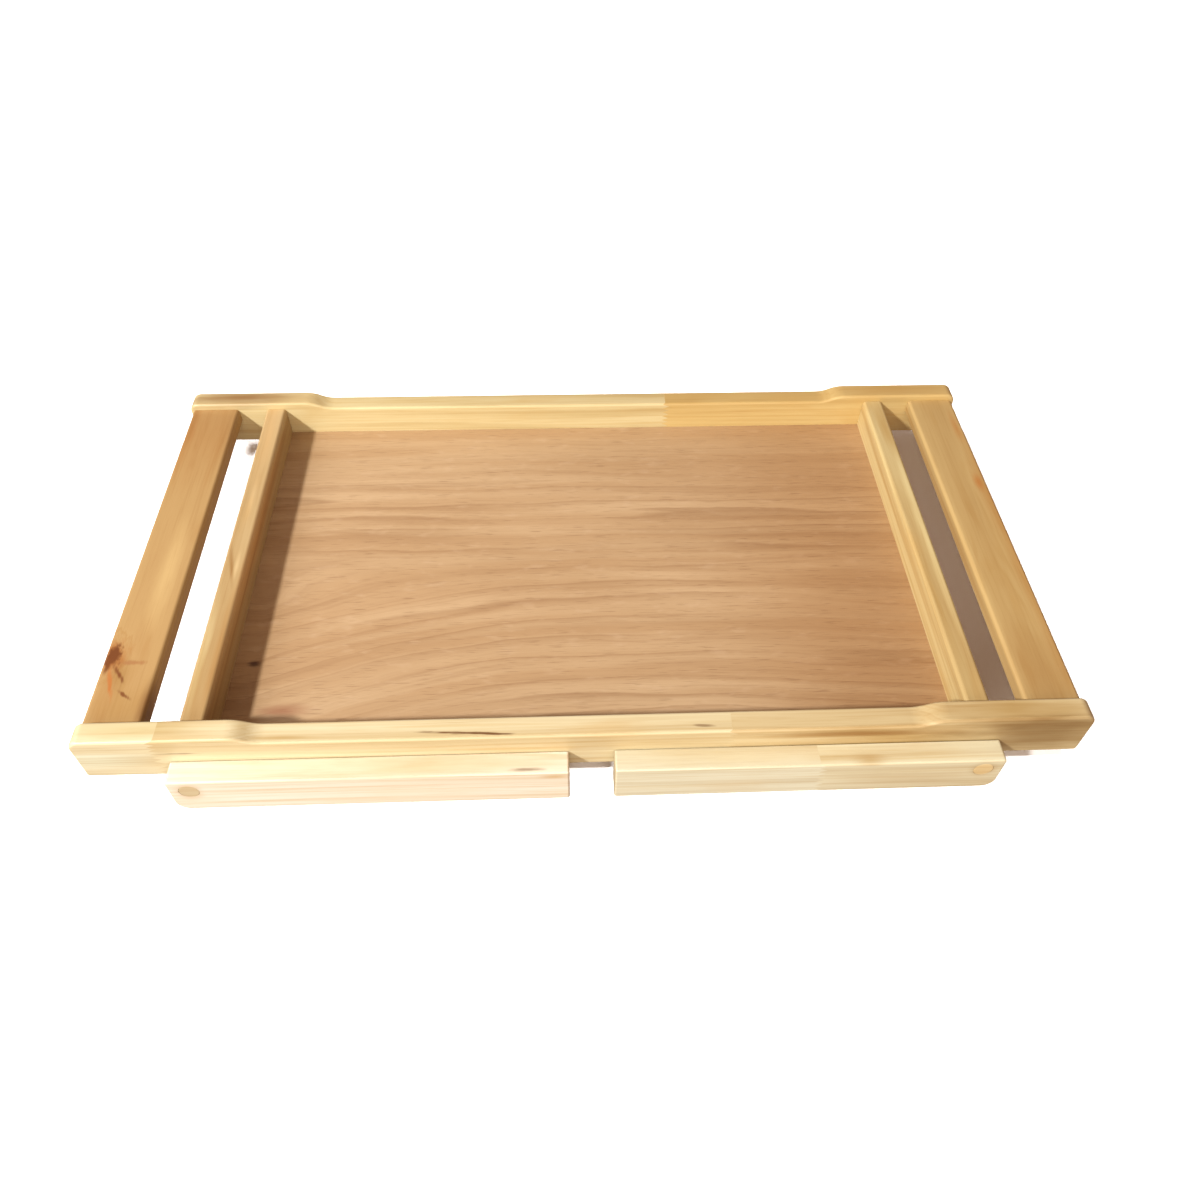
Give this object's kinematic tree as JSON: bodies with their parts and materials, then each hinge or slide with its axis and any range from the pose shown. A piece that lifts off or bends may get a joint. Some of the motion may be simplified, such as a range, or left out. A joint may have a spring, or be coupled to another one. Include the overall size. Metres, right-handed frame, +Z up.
{
  "type": "serving tray",
  "caption": "Wooden serving tray with a sunken panel, a handle bar at each end and folding legs that open under it to make a low bed table.",
  "frame": {"origin": "on the ground under the middle of the tray, legs folded", "axes": "+X along the side rails to the right, +Y from the front rail to the back rail, +Z up"},
  "size_m": [0.6, 0.35, 0.051],
  "materials": {
    "pine": "clear satin lacquer on pale pine",
    "handle_pine": "clear satin lacquer on darker, knotty pine",
    "panel_veneer": "thin satin lacquer on pinkish-brown veneered plywood",
    "leg_pine": "clear satin lacquer on pale pine",
    "dowel_wood": "plain turned hardwood",
    "plug_wood": "clear satin lacquer on face-grain plugs",
    "screw_steel": "zinc-plated steel"
  },
  "bodies": {
    "tray": {"front_rail": "pine", "back_rail": "pine", "left_end_rail": "pine", "right_end_rail": "pine", "left_handle": "handle_pine", "right_handle": "handle_pine", "base_panel": "panel_veneer", "pivot_screws": "screw_steel", "pivot_washers": "screw_steel", "left_end_rail_dowels": "dowel_wood", "right_end_rail_dowels": "dowel_wood", "left_handle_dowels": "dowel_wood", "right_handle_dowels": "dowel_wood"},
    "left_leg_frame": {"left_front_leg": "leg_pine", "left_back_leg": "leg_pine", "left_stop_bar": "leg_pine", "left_foot_rung": "dowel_wood", "left_pivot_plugs": "plug_wood", "left_stop_bar_dowels": "dowel_wood"},
    "right_leg_frame": {"right_front_leg": "leg_pine", "right_back_leg": "leg_pine", "right_stop_bar": "leg_pine", "right_foot_rung": "dowel_wood", "right_pivot_plugs": "plug_wood", "right_stop_bar_dowels": "dowel_wood"}
  },
  "joints": [
    {"name": "left_leg_hinge", "type": "hinge", "parent": "tray", "child": "left_leg_frame", "pos_m": [-0.2355, 0, 0.0205], "axis": [0, 1, 0], "range_deg": [0, 90]},
    {"name": "right_leg_hinge", "type": "hinge", "parent": "tray", "child": "right_leg_frame", "pos_m": [0.2355, 0, 0.0205], "axis": [0, -1, 0], "range_deg": [0, 90]}
  ]
}
